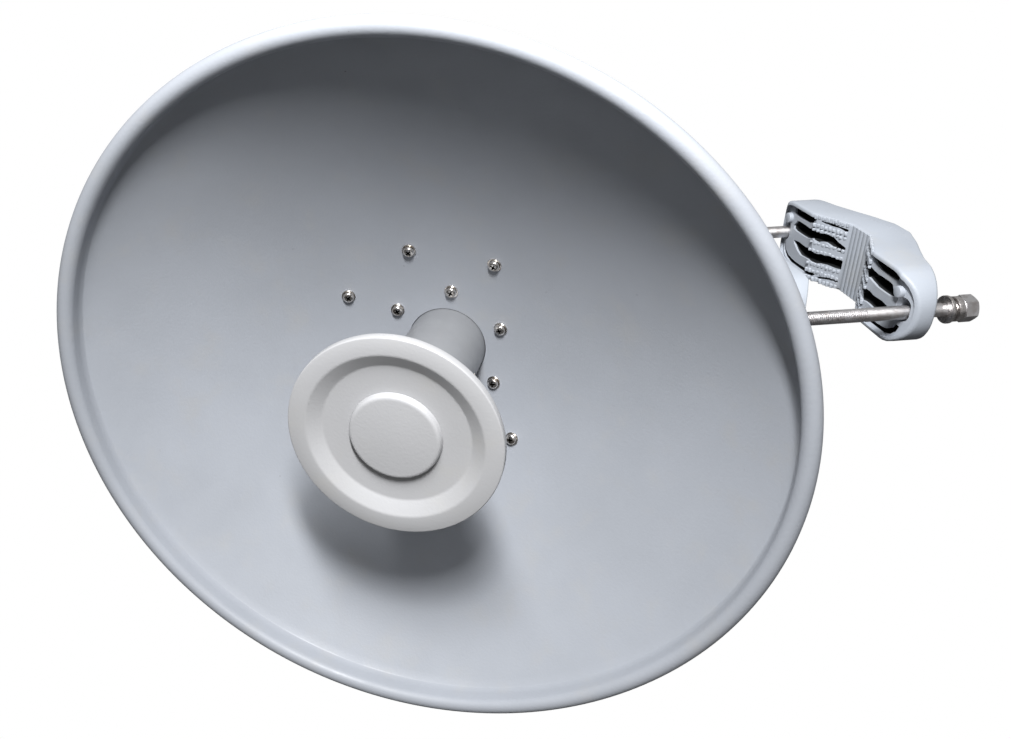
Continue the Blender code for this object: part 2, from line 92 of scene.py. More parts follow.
def object_noise(tree, scale, detail=3.0, rough=0.5, offset=(0, 0, 0)):
    """Noise over the object's own coordinates, in metres."""
    place = add_node(tree, "ShaderNodeTexCoord")
    mapping = add_node(tree, "ShaderNodeMapping")
    mapping.inputs["Location"].default_value = offset
    tree.links.new(place.outputs["Object"], mapping.inputs["Vector"])
    grain = add_node(tree, "ShaderNodeTexNoise")
    grain.inputs["Scale"].default_value = scale
    grain.inputs["Detail"].default_value = detail
    grain.inputs["Roughness"].default_value = rough
    tree.links.new(mapping.outputs["Vector"], grain.inputs["Vector"])
    return grain.outputs["Fac"]


def ramp(tree, source, low, high, to_low=0.0, to_high=1.0):
    steps = add_node(tree, "ShaderNodeMapRange", interpolation_type="SMOOTHSTEP")
    steps.inputs["From Min"].default_value = low
    steps.inputs["From Max"].default_value = high
    steps.inputs["To Min"].default_value = to_low
    steps.inputs["To Max"].default_value = to_high
    tree.links.new(source, steps.inputs["Value"])
    return steps.outputs["Result"]


def blend_colour(tree, share, first, second):
    mix = add_node(tree, "ShaderNodeMix", data_type="RGBA")
    tree.links.new(share, mix.inputs["Factor"])
    for socket, colour in ((mix.inputs[6], first), (mix.inputs[7], second)):
        if isinstance(colour, tuple):
            socket.default_value = (*colour, 1)
        else:
            tree.links.new(colour, socket)
    return mix.outputs[2]


def bump(tree, shader, source, depth, strength=1.0):
    relief = add_node(tree, "ShaderNodeBump")
    relief.inputs["Distance"].default_value = depth
    relief.inputs["Strength"].default_value = strength
    tree.links.new(source, relief.inputs["Height"])
    tree.links.new(relief.outputs["Normal"], shader.inputs["Normal"])


def painted(name, colour, shade, haze, rough=(0.42, 0.56), peel=420, grit=0.80, painted_shade=None):
    """A sprayed coat: shifts of tone, dusty haze, orange peel, a few dark specks, and painted shade where marked."""
    material, tree, shader = new_material(name)
    tone = ramp(tree, object_noise(tree, 7, 4), 0.35, 0.68)
    colours = blend_colour(tree, tone, colour, shade)
    dust = ramp(tree, object_noise(tree, 26, 6, 0.62, offset=(3, 1, 2)), 0.50, 0.74, 0.0, 0.55)
    colours = blend_colour(tree, dust, colours, haze)
    speck = ramp(tree, object_noise(tree, 310, 1.5, 0.4, offset=(7, 5, 1)), grit, grit + 0.03, 0.0, 0.55)
    colours = blend_colour(tree, speck, colours, (0.10, 0.095, 0.085))
    if painted_shade:
        marked = add_node(tree, "ShaderNodeAttribute", attribute_name="painted_shade")
        colours = blend_colour(tree, marked.outputs["Fac"], colours, painted_shade)
    tree.links.new(colours, shader.inputs["Base Color"])
    gloss = ramp(tree, object_noise(tree, 34, 4, offset=(5, 2, 8)), 0.3, 0.7, *rough)
    tree.links.new(gloss, shader.inputs["Roughness"])
    bump(tree, shader, object_noise(tree, peel, 2.5, 0.55), 0.00022, 0.55)
    return material


def metal(name, bright, dull, rough=(0.18, 0.38), grain=900, painted_shade=None):
    """Drawn or turned steel, with fine grain, a warmer tarnish in patches and painted shade where it is marked."""
    material, tree, shader = new_material(name)
    lines = object_noise(tree, grain, 3, 0.6)
    tarnish = ramp(tree, object_noise(tree, 120, 4, 0.6), 0.42, 0.68)
    colours = blend_colour(tree, tarnish, bright, dull)
    if painted_shade:
        marked = add_node(tree, "ShaderNodeAttribute", attribute_name="painted_shade")
        colours = blend_colour(tree, marked.outputs["Fac"], colours, painted_shade)
    tree.links.new(colours, shader.inputs["Base Color"])
    shader.inputs["Metallic"].default_value = 1.0
    tree.links.new(ramp(tree, lines, 0.3, 0.7, *rough), shader.inputs["Roughness"])
    bump(tree, shader, lines, 0.00004, 0.5)
    return material


def moulded(name, colour, shade, rough=(0.34, 0.44)):
    """Moulded plastic with a satin skin."""
    material, tree, shader = new_material(name)
    tone = ramp(tree, object_noise(tree, 30, 3), 0.35, 0.7)
    tree.links.new(blend_colour(tree, tone, colour, shade), shader.inputs["Base Color"])
    tree.links.new(ramp(tree, object_noise(tree, 90, 4), 0.3, 0.7, *rough), shader.inputs["Roughness"])
    bump(tree, shader, object_noise(tree, 1500, 2), 0.00003, 0.35)
    return material


# A dark material for the second slot, which marks faces for painted shade
def shade_slot_material(name, colour, rough=0.7):
    material, tree, shader = new_material(name)
    tone = ramp(tree, object_noise(tree, 900, 3), 0.3, 0.7)
    darker = tuple(c * 0.6 for c in colour)
    tree.links.new(blend_colour(tree, tone, colour, darker), shader.inputs["Base Color"])
    shader.inputs["Roughness"].default_value = rough
    return material


DISH_COATING = painted("dish_coating", (0.310, 0.328, 0.362), (0.292, 0.309, 0.340), (0.322, 0.328, 0.338))
SUB_COATING = painted(
    "sub_reflector_coating",
    (0.385, 0.388, 0.400),
    (0.370, 0.372, 0.380),
    (0.390, 0.388, 0.382),
)
# The jaw's coat, with near-black painted shade where its pocket faces are marked
JAW_COATING = painted(
    "jaw_coating",
    (0.312, 0.338, 0.380),
    (0.290, 0.314, 0.352),
    (0.322, 0.328, 0.334),
    rough=(0.45, 0.6),
    peel=650,
    painted_shade=(0.010, 0.011, 0.012),
)
CAST_COATING = painted(
    "cast_coating",
    (0.340, 0.365, 0.405),
    (0.315, 0.338, 0.372),
    (0.350, 0.352, 0.352),
    rough=(0.45, 0.6),
    peel=520,
)
FEED_PLASTIC = moulded("feed_plastic", (0.205, 0.211, 0.222), (0.190, 0.195, 0.206))
STEEL = metal("stainless", (0.72, 0.69, 0.68), (0.52, 0.48, 0.45), (0.24, 0.40))
# Screw steel, with dark painted shade where the cross recess is marked
SCREW_STEEL = metal(
    "screw_stainless",
    (0.78, 0.75, 0.72),
    (0.50, 0.45, 0.40),
    (0.16, 0.30),
    painted_shade=(0.02, 0.018, 0.016),
)
DRAWN_STEEL = metal("drawn_stainless", (0.70, 0.69, 0.70), (0.54, 0.51, 0.50), (0.34, 0.48))
BRASS = metal("plated_brass", (0.80, 0.76, 0.66), (0.62, 0.55, 0.42))
# The second slot's material: the faces it marks later carry painted shade through their finish
PAINTED_SHADE_SLOT = shade_slot_material("painted_shade_slot", (0.05, 0.045, 0.04))


# Making tools


def outward(shape):
    """Turns every face of a closed shape outwards."""
    bmesh.ops.recalc_face_normals(shape, faces=shape.faces)
    if shape.calc_volume(signed=True) < 0:
        bmesh.ops.reverse_faces(shape, faces=shape.faces)
    return shape


def clean(shape, merge=1e-6):
    bmesh.ops.remove_doubles(shape, verts=shape.verts, dist=merge)
    return outward(shape)


def mesh_of(name, shape):
    mesh = bpy.data.meshes.new(name)
    shape.to_mesh(mesh)
    shape.free()
    return mesh


def add_piece(name, mesh, finish, body="antenna", stands_for=(), sharp=32):
    piece = bpy.data.objects.new(name, mesh)
    bpy.context.scene.collection.objects.link(piece)
    mesh.materials.clear()
    mesh.materials.append(finish)
    mesh.shade_smooth()
    mesh.set_sharp_from_angle(angle=math.radians(sharp))
    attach(piece, body)
    if stands_for:
        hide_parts(*stands_for)
    return piece


def join(name, shapes):
    """One mesh from several bmeshes, which it frees."""
    whole = bmesh.new()
    for shape in shapes:
        part = mesh_of("part", shape)
        whole.from_mesh(part)
        bpy.data.meshes.remove(part)
    return mesh_of(name, whole)


def from_mesh(mesh):
    shape = bmesh.new()
    shape.from_mesh(mesh)
    bpy.data.meshes.remove(mesh)
    return shape


def with_finishes(mesh, finish):
    """Gives a blank or a cutting tool its finish, and a second slot for the faces that carry painted shade."""
    mesh.materials.append(finish)
    mesh.materials.append(PAINTED_SHADE_SLOT)
    return mesh


def marked_shade(mesh):
    """Turns the second slot's faces into a painted-shade mark that the finish reads."""
    painted_shade = mesh.attributes.new("painted_shade", "FLOAT", "FACE")
    for face, value in zip(mesh.polygons, painted_shade.data):
        value.value = float(face.material_index)
        face.material_index = 0
    return mesh


def turned(section, steps, closed=True):
    """A section of (radius, height) points turned round Z. A closed one joins its last point to its first."""
    shape = bmesh.new()
    corners = [shape.verts.new((radius, 0, height)) for radius, height in section]
    pairs = list(zip(corners, corners[1:])) + ([(corners[-1], corners[0])] if closed else [])
    edges = [shape.edges.new(pair) for pair in pairs if (pair[0].co - pair[1].co).length > 1e-9]
    bmesh.ops.spin(
        shape,
        geom=corners + edges,
        axis=(0, 0, 1),
        cent=(0, 0, 0),
        steps=steps,
        angle=math.tau,
        use_merge=True,
    )
    return clean(shape)


def sharp_edges(shape, degrees=25):
    limit = math.radians(degrees)
    return [edge for edge in shape.edges if len(edge.link_faces) == 2 and edge.calc_face_angle(0) > limit]


def round_edges(shape, edges, width, segments=2):
    bmesh.ops.bevel(
        shape,
        geom=edges,
        offset=width,
        offset_type="OFFSET",
        affect="EDGES",
        segments=segments,
        profile=0.5,
        clamp_overlap=True,
        material=-1,
    )
    return shape


def prism(outline, low, high, edge=0.0, segments=2):
    """A flat outline in X and Y run from low to high along Z."""
    shape = bmesh.new()
    face = shape.faces.new([shape.verts.new((x, y, low)) for x, y in outline])
    made = bmesh.ops.extrude_face_region(shape, geom=[face])
    top = [item for item in made["geom"] if isinstance(item, bmesh.types.BMVert)]
    bmesh.ops.translate(shape, verts=top, vec=(0, 0, high - low))
    clean(shape)
    return round_edges(shape, sharp_edges(shape), edge, segments) if edge else shape


def arc(centre, radius, start, end, count):
    """Points along an arc, angles in degrees."""
    return [
        (
            centre[0] + radius * math.cos(math.radians(start + (end - start) * i / (count - 1))),
            centre[1] + radius * math.sin(math.radians(start + (end - start) * i / (count - 1))),
        )
        for i in range(count)
    ]


def carve(base, tools, operation="DIFFERENCE"):
    """The base mesh cut by, or kept inside, each tool mesh. It uses them up."""
    body = bpy.data.objects.new("blank", base)
    bpy.context.scene.collection.objects.link(body)
    helpers = []
    for tool in tools:
        helper = bpy.data.objects.new("tool", tool)
        bpy.context.scene.collection.objects.link(helper)
        helpers.append(helper)
        modifier = body.modifiers.new("cut", "BOOLEAN")
        modifier.operation = operation
        modifier.object = helper
        modifier.solver = "EXACT"
    bpy.context.view_layer.update()
    done = bpy.data.meshes.new_from_object(body.evaluated_get(bpy.context.evaluated_depsgraph_get()))
    for thing in [body, *helpers]:
        old = thing.data
        bpy.data.objects.remove(thing)
        bpy.data.meshes.remove(old)
    return done


def eased(mesh, width, segments=2, degrees=30):
    """The mesh with its sharp edges rounded by a bevel."""
    thing = bpy.data.objects.new("blank", mesh)
    bpy.context.scene.collection.objects.link(thing)
    modifier = thing.modifiers.new("ease", "BEVEL")
    modifier.width = width
    modifier.segments = segments
    modifier.limit_method = "ANGLE"
    modifier.angle_limit = math.radians(degrees)
    modifier.use_clamp_overlap = True
    bpy.context.view_layer.update()
    done = bpy.data.meshes.new_from_object(thing.evaluated_get(bpy.context.evaluated_depsgraph_get()))
    bpy.data.objects.remove(thing)
    bpy.data.meshes.remove(mesh)
    return done


def bowl_height(radius):
    return radius * radius / (4 * FOCAL_LENGTH) - BOWL_DEPTH


def surface_frame(radius, angle, lift=0.0):
    """A matrix that stands on the bowl at a radius and an angle, with Z along the surface's normal."""
    slope = math.atan(radius / (2 * FOCAL_LENGTH))
    stand = Matrix.Translation((radius, 0, bowl_height(radius))) @ Matrix.Rotation(-slope, 4, "Y")
    return Matrix.Rotation(angle, 4, "Z") @ stand @ Matrix.Translation((0, 0, lift))


# Dish and feed


def reflector():
    """The spun bowl, with a straight wall up to a rolled bead at its rim."""
    hole = TUBE_RADIUS + 0.0006
    rings = [hole + (CREASE_RADIUS - hole) * i / 44 for i in range(45)]
    front = [(ring, bowl_height(ring)) for ring in rings]
    crease = [(CREASE_RADIUS + 0.0008, bowl_height(CREASE_RADIUS) + 0.0012), (CREASE_RADIUS + 0.0004, -0.0070)]
    bead = arc((RIM_RADIUS - BEAD_RADIUS, 0), BEAD_RADIUS, 182, -86, 26)
    tuck = [(RIM_RADIUS - BEAD_RADIUS - 0.0018, -0.0088), (CREASE_RADIUS + SHELL + 0.0016, -0.0100)]
    back = [(CREASE_RADIUS + SHELL, bowl_height(CREASE_RADIUS))]
    back += [(ring, bowl_height(ring) - SHELL) for ring in reversed(rings)]
    shape = turned(front + crease + bead + tuck + back, 224)
    shape.transform(DISH)
    dish = mesh_of("spun_reflector", shape)
    add_piece("spun_reflector", dish, DISH_COATING, "antenna", ["reflector"], 40)


def sub_reflector():
    """The stepped disc in front of the feed, its boss and the feed tube behind it."""
    middle, ring, edge = 0.0597, 0.0711, 0.0857
    section = (
        [(0, 0.0147)]
        + [(middle - 0.0012, 0.0147), (middle, 0.0149), (middle + 0.0010, 0.0154)]
        + [(ring - 0.0012, 0.0214), (ring, 0.0219), (ring + 0.0012, 0.0220)]
        + [(edge - 0.0016, 0.0220), (edge - 0.0008, 0.0218), (edge - 0.0002, 0.0213), (edge, 0.0206)]
        + [(edge, 0.0156), (edge - 0.0003, 0.0147), (edge - 0.0010, 0.0142), (edge - 0.0020, 0.0140)]
        + [(ring + 0.001, 0.0140), (ring - 0.0015, 0.0136), (middle + 0.002, 0.0098), (middle - 0.001, 0.0090)]
        + [(0, 0.0090)]
    )
    shape = turned(section, 160, closed=False)
    shape.transform(DISH)
    plate = mesh_of("stepped_sub_reflector", shape)
    add_piece("stepped_sub_reflector", plate, SUB_COATING, "antenna", ["subreflector"], 24)
    side = [(0.0373, 0.0150), (0.0366, 0.0180), (0.0363, 0.0188), (0.0358, 0.0195), (0.0351, 0.0200)]
    shape = turned([(0, 0.0150), *side, (0.0342, 0.0203), (0.0330, 0.0204), (0, 0.0204)], 128, closed=False)
    shape.transform(DISH)
    boss = mesh_of("sub_reflector_cap", shape)
    add_piece("sub_reflector_cap", boss, SUB_COATING, "antenna", ["subreflector_boss"], 30)
    section = [(0, -0.186), (TUBE_RADIUS - 0.001, -0.186), (TUBE_RADIUS, -0.185)]
    section += [(TUBE_RADIUS, 0.0087), (0, 0.0087)]
    shape = turned(section, 128, closed=False)
    shape.transform(DISH)
    tube = mesh_of("feed_tube_sleeve", shape)
    add_piece("feed_tube_sleeve", tube, FEED_PLASTIC, "antenna", ["feed_tube"], 40)


def cross_recess():
    """Two tapered wedges that cross, for the driver's recess in a screw head, whose faces carry painted shade."""
    tools = []
    for turn in (0, math.pi / 2):
        outline = [(-0.0030, 0.0060), (-0.0020, 0.0022), (0.0020, 0.0022), (0.0030, 0.0060)]
        wedge = prism(outline, -0.00068, 0.00068)
        wedge.transform(Matrix.Rotation(turn, 4, "Z") @ Matrix.Rotation(math.pi / 2, 4, "X"))
        # The recess faces take the second slot: dark painted shade in the screw's recess
        for face in wedge.faces:
            face.material_index = 1
        tools.append(with_finishes(mesh_of("recess", wedge), SCREW_STEEL))
    return tools


def pan_screw():
    """A pan head screw with a cross recess, on a flat washer and a spring washer."""
    washer = [(0.0026, 0.0002), (0.0060, 0.0002), (0.0062, 0.0004)]
    washer += [(0.0062, 0.0010), (0.0060, 0.0012), (0.0026, 0.0012)]
    dome = [(0.0048, 0.0014), (0.0049, 0.0018), (0.0049, 0.0030), (0.0047, 0.0036), (0.0043, 0.0041)]
    dome += [(0.0037, 0.0045), (0.0028, 0.00475), (0.0015, 0.00485), (0, 0.0049)]
    shank = [(0, -0.0060), (0.0022, -0.0060), (0.0024, -0.0057), (0.0024, 0.0014)]
    blank = with_finishes(mesh_of("head", turned(shank + dome, 40, closed=False)), SCREW_STEEL)
    head = from_mesh(carve(blank, cross_recess()))
    return marked_shade(join("pan_screw", [head, turned(washer, 40)]))


INNER_RING = [(0.0547, 24.8 + 60 * step) for step in range(6)]
OUTER_RING = [(0.098, 62.7), (0.098, 107.7), (0.098, 152.8), (0.104, 266.6), (0.104, 308.8)]


def bowl_screws():
    master = pan_screw()
    chance = random.Random(5)
    for ring_name, ring in (("inner", INNER_RING), ("outer", OUTER_RING)):
        for number, (radius, degrees) in enumerate(ring, 1):
            mesh = master.copy()
            lean = Matrix.Rotation(math.radians(chance.uniform(-2, 2)), 4, "X")
            spin = Matrix.Rotation(chance.uniform(0, math.tau), 4, "Z")
            mesh.transform(DISH @ surface_frame(radius, math.radians(degrees)) @ lean @ spin)
            node = f"{ring_name}_screw_{number}"
            add_piece(f"{node}_pan_head", mesh, SCREW_STEEL, "antenna", [node], 28)


# Clamp

SEAT_HALF = 0.0125
FACE = [(0.0, 0.0), (SEAT_HALF, 0.0), (0.044, -0.0165), (0.082, -0.0180), (0.0985, -0.0100)]
OUTER_BACK = [
    (0.0, 0.034),
    (0.010, 0.034),
    (0.030, 0.0265),
    (0.046, 0.019),
    (0.060, 0.013),
    (0.080, 0.007),
    (0.0985, 0.003),
]
INNER_BACK = [(0.0, 0.032), (0.010, 0.032), (0.030, 0.0285), (0.058, 0.016), (0.073, -0.002), (0.0985, -0.002)]
RECESS = [
    (0.0, -0.045),
    (0.0385, -0.045),
    (0.0400, -0.0144),
    (0.048, -0.0132),
    (0.082, -0.0140),
    (0.0985, -0.0090),
]
POCKET_FLOOR = 0.005
# How deep the coat runs into a pocket before the painted shade begins
COAT_BEFORE_SHADE = 0.0018

# The pockets of one half, as outlines of (along, up) from the seat out to the jaw's end
POCKETS = [
    [(42, 23), (46, 24.6), (72, 24.6), (76, 20.5), (75, 17.4), (70, 16.6), (60, 16.4), (52, 16.8), (46, 19)],
    [(15, 21.0), (19, 20.4), (23, 21.6), (29, 21.4), (36, 22.4), (36, 23.6), (29, 24.2), (22, 23.4), (15, 23.0)],
    [(14.4, 3.0), (19, 2.7), (25, 5.6), (30, 7.4), (33.5, 7.0), (36, 5.4), (39, 6.0), (42, 6.8), (47, 4.8), (52, 3.6)]
    + [(60, 3.4), (70, 3.6), (73.5, 4.4), (74.5, 7.0), (71.5, 10.3), (70, 12.6), (66, 13.2), (56, 13.1), (50, 12.8)]
    + [(46, 13.6), (42, 15.2), (38.5, 14.6), (35, 13.8), (31, 14.3), (25, 14.0), (20.5, 10.8), (14.4, 8.0)],
    [(14.4, -10.9), (20, -11.4), (27, -10.9), (32, -11.4), (36, -12.8), (40, -12.2), (44, -12.0), (50, -12.9)]
    + [(57, -13.4), (63, -11.2), (69, -7.2), (70.5, -4.6), (62, -3.4), (55, -3.8), (50, -3.9), (46, -2.6)]
    + [(41, -2.2), (38.5, -3.6), (35, -4.0), (28, -2.8), (20, -2.5), (14.4, -3.2)],
    [(33, -21.2), (38, -21.0), (46, -20.7), (55, -21.2), (62, -21.2), (69, -20.6), (75, -19.4), (79.5, -16.6)]
    + [(83, -11.8), (86, -13.0), (84.5, -17.5), (79, -22.4), (71, -24.9), (59, -25.0), (44, -24.9), (36, -24.2)],
    [(15, -20.4), (20, -20.2), (25, -21.0), (32, -23.0), (32, -24.6), (25, -23.0), (20, -22.4), (15, -22.2)],
]
# Each toothed strip of the flank, as the heights that it spans and how far its teeth stand out
TOOTHED = [
    (24.4, 27.8, 1.0),
    (17.4, 20.4, 1.4),
    (14.2, 16.0, 1.0),
    (3.6, 5.6, 0.7),
    (-2.8, -0.8, 0.9),
    (-14.6, -12.2, 1.0),
    (-20.6, -18.0, 1.1),
    (-27.8, -24.4, 1.1),
]


def depth_at(line, along):
    """The depth of a jaw's face or back line at a place along the jaw."""
    along = min(abs(along), line[-1][0])
    for (start, first), (end, second) in zip(line, line[1:]):
        if along <= end:
            return first + (second - first) * (along - start) / (end - start)
    return line[-1][1]


def plan_outline(reach, width, end_round, count=10):
    """A long shape with rounded ends, as (along, up)."""
    x, z = reach - end_round, width - end_round
    return (
        arc((x, z), end_round, 90, 0, count)
        + arc((x, -z), end_round, 0, -90, count)
        + arc((-x, -z), end_round, 270, 180, count)
        + arc((-x, z), end_round, 180, 90, count)
    )


def bent_block(outline, front, back, breaks):
    """A plan outline given depth: its front and back follow lines of depth along the jaw."""
    block = prism(outline, 0, 1)
    for place in breaks:
        for along in {place, -place}:
            everything = block.verts[:] + block.edges[:] + block.faces[:]
            bmesh.ops.bisect_plane(block, geom=everything, plane_co=(along, 0, 0), plane_no=(1, 0, 0))
    for vert in block.verts:
        along, up, layer = vert.co
        vert.co = (along, front(along) if layer < 0.5 else back(along), up)
    return clean(block)


def tooth(hand, place, low, high, stand, chance):
    """One rounded tooth across a strip of the flank, its place from 0 at the seat to 1 at the knuckle."""
    start, stop = Vector((0.0145, -0.0010)), Vector((0.0425, -0.0157))
    foot = start + (stop - start) * place
    out = Vector((-(stop - start).y, (stop - start).x)).normalized() * -1
    if out.y > 0:
        out.negate()
    step = (stop - start) / 9
    tip = foot + out * 0.001 * stand * chance.uniform(0.75, 1.25) + step * 0.18
    outline = [foot - step * 0.42 - out * 0.001, foot - step * 0.36, tip - step * 0.12, tip + step * 0.12]
    outline += [foot + step * 0.40, foot + step * 0.46 - out * 0.001]
    low, high = low + chance.uniform(-0.0006, 0.0004), high + chance.uniform(-0.0004, 0.0006)
    return prism([(hand * point.x, point.y) for point in outline], low, high, 0.0003, 1)


def seat_outline():
    """The grooved seat's section, five soft ridges side by side, as (along, depth)."""
    line = [(-SEAT_HALF, 0.010), (-SEAT_HALF, 0.0004)]
    for ridge in range(5):
        centre = -0.010 + 0.005 * ridge
        line += [(centre - 0.0019, -0.0001), (centre - 0.0012, -0.0004), (centre, -0.0005)]
        line += [(centre + 0.0012, -0.0004), (centre + 0.0019, -0.0001), (centre + 0.0025, 0.0002)]
    line[-1] = (SEAT_HALF, 0.0002)
    return line + [(SEAT_HALF, 0.010)]


def pocket_tool(outline, hand, back):
    """A cutter for one pocket, from in front of the jaw to near its back, with the coat near its mouth and painted
    shade deeper in.
    """
    points = [(hand * along / 1000, up / 1000) for along, up in outline]
    tool = prism(points, 0, 1)
    bmesh.ops.triangulate(tool, faces=tool.faces)
    breaks = (0.020, 0.030, 0.040, 0.048, 0.060, 0.070)
    planes = [((hand * along, 0, 0), (1, 0, 0)) for along in breaks] + [((0, 0, 0.5), (0, 0, 1))]
    for place, across in planes:
        bmesh.ops.bisect_plane(
            tool, geom=tool.verts[:] + tool.edges[:] + tool.faces[:], plane_co=place, plane_no=across
        )
    for face in tool.faces:
        # Faces deeper than the mouth take the second slot: near-black painted shade inside the pocket
        face.material_index = 1 if face.calc_center_median().z > 0.5 else 0
    for vert in tool.verts:
        along, up, layer = vert.co
        mouth = max(depth_at(FACE, along), depth_at(RECESS, along)) + COAT_BEFORE_SHADE
        floor = max(depth_at(back, along) - POCKET_FLOOR, mouth + 0.002)
        depth = -0.045 if layer < 0.25 else (mouth if layer < 0.75 else floor)
        vert.co = (along, depth, up)
    outward(tool)
    return with_finishes(mesh_of("pocket", tool), JAW_COATING)


def jaw(name, back, opening, towards, node, body, extras=()):
    """A cast jaw: a bent block with ribs between pockets, toothed flanks, bolt slots and a grooved seat."""
    breaks = sorted({along for along, _ in FACE + back if 0 < along < JAW_HALF_LENGTH})
    outline = plan_outline(JAW_HALF_LENGTH, JAW_HALF_WIDTH, JAW_END_ROUND)
    block = bent_block(outline, lambda along: depth_at(FACE, along), lambda along: depth_at(back, along), breaks)
    round_edges(block, sharp_edges(block, 50), 0.0020, 3)
    inset = plan_outline(JAW_HALF_LENGTH - JAW_WALL, JAW_HALF_WIDTH - JAW_WALL, JAW_END_ROUND - JAW_WALL, 9)
    steps = [along for along, _ in RECESS if 0 < along < JAW_HALF_LENGTH - JAW_WALL]
    recess = bent_block(inset, lambda along: -0.05, lambda along: depth_at(RECESS, along), steps)
    casting = carve(mesh_of("block", block), [mesh_of("recess", recess)])
    tools = []
    for hand in (1, -1):
        tools += [pocket_tool(pocket, hand, back) for pocket in POCKETS]
        turn = SLOT_HALF_HEIGHT - SLOT_HALF_WIDTH
        hole = arc((0, turn), SLOT_HALF_WIDTH, 0, 180, 12) + arc((0, -turn), SLOT_HALF_WIDTH, 180, 360, 12)
        slot = prism(hole, -0.09, 0.09)
        slot.transform(Matrix.Translation((hand * BOLT_ALONG, 0, 0)) @ Matrix.Rotation(math.pi / 2, 4, "X"))
        tools.append(mesh_of("slot", slot))
    casting = carve(with_finishes(casting, JAW_COATING), tools)
    chance = random.Random(11)
    shapes = [clean(from_mesh(eased(casting, 0.0006, 2, 40)), 2e-6)]
    for hand in (1, -1):
        for low, high, stand in TOOTHED:
            for number in range(9):
                place = (number + 0.5 + chance.uniform(-0.12, 0.12)) / 9
                shapes.append(tooth(hand, place, low / 1000, high / 1000, stand, chance))
        stub = prism(arc((0, 0), 0.0043, 0, 345, 24), -0.0172, 0.001, 0.0007, 2)
        stub.transform(Matrix.Translation((hand * 0.0806, 0, 0.0118)) @ ALONG_Y)
        shapes.append(stub)
    shapes.append(prism(seat_outline(), -JAW_HALF_WIDTH + 0.0006, JAW_HALF_WIDTH - 0.0006, 0.0003, 1))
    for shape in shapes:
        shape.transform(Matrix.Translation((0, opening, 0)) @ Matrix.Diagonal((1, towards, 1, 1)))
        outward(shape)
    shapes.extend(extras)
    mesh = marked_shade(join(name, shapes))
    mesh.transform(MAST)
    add_piece(name, mesh, JAW_COATING, body, [node], 36)


def hexagon(across_flats):
    return arc((0, 0), across_flats / math.sqrt(3), 0, 300, 6)


def hex_blank(low, high, across_flats, tops=(True, True)):
    """A hexagon along Z with its corners turned off at either end. Block and dome share no end plane."""
    spare = [0.001 if turned_off else 0.0 for turned_off in tops]
    block = prism(hexagon(across_flats), low - spare[0], high + spare[1])
    corner = across_flats / math.sqrt(3)
    flat = across_flats * 0.47
    drop = (corner - flat) * 0.55
    wide = corner + 0.0002
    start, end = low - (0.001 - spare[0]), high + (0.001 - spare[1])
    section = [(0, start), (flat if tops[0] else wide, start)]
    section += [(wide, low + drop)] if tops[0] else []
    section += [(wide, high - drop)] if tops[1] else []
    section += [(flat if tops[1] else wide, end), (0, end)]
    dome = turned(section, 72, closed=False)
    return carve(mesh_of("hex", block), [mesh_of("dome", dome)], "INTERSECT")


def thread(radius, pitch, low, high, steps=20):
    """A closed screw ridge round Z from low to high, to lie on a core a little thinner than it."""
    depth = pitch * 0.36
    section = [(radius - depth - 0.0004, -0.44), (radius - depth, -0.40), (radius, -0.08), (radius, 0.08)]
    section += [(radius - depth, 0.40), (radius - depth - 0.0004, 0.44)]
    shape = bmesh.new()
    corners = [shape.verts.new((across, 0, low + pitch * (0.5 + along))) for across, along in section]
    edges = [shape.edges.new(pair) for pair in zip(corners, corners[1:] + corners[:1])]
    turns = max(1, int((high - low) / pitch - 1))
    first = list(edges)
    made = bmesh.ops.spin(
        shape,
        geom=corners + edges,
        axis=(0, 0, 1),
        cent=(0, 0, 0),
        dvec=(0, 0, pitch / steps),
        steps=steps * turns,
        angle=math.tau * turns,
        use_merge=False,
    )
    last = [item for item in made["geom_last"] if isinstance(item, bmesh.types.BMEdge)]
    for ring in (first, last):
        bmesh.ops.contextual_create(shape, geom=ring)
    return outward(shape)


def split_washer(low, high, outer, inner, gap=14, rise=0.0007, steps=40):
    """A spring washer: a square wire wound through nearly one turn, its ends sprung apart."""
    shape = bmesh.new()
    wire = high - low - rise
    section = [(inner, low), (outer, low), (outer, low + wire), (inner, low + wire)]
    corners = [shape.verts.new((across, 0, along)) for across, along in section]
    edges = [shape.edges.new(pair) for pair in zip(corners, corners[1:] + corners[:1])]
    first = list(edges)
    made = bmesh.ops.spin(
        shape,
        geom=corners + edges,
        axis=(0, 0, 1),
        cent=(0, 0, 0),
        dvec=(0, 0, rise / steps),
        steps=steps,
        angle=math.radians(360 - gap),
        use_merge=False,
    )
    last = [item for item in made["geom_last"] if isinstance(item, bmesh.types.BMEdge)]
    for ring in (first, last):
        bmesh.ops.contextual_create(shape, geom=ring)
    outward(shape)
    return round_edges(shape, sharp_edges(shape, 50), 0.0003, 2)


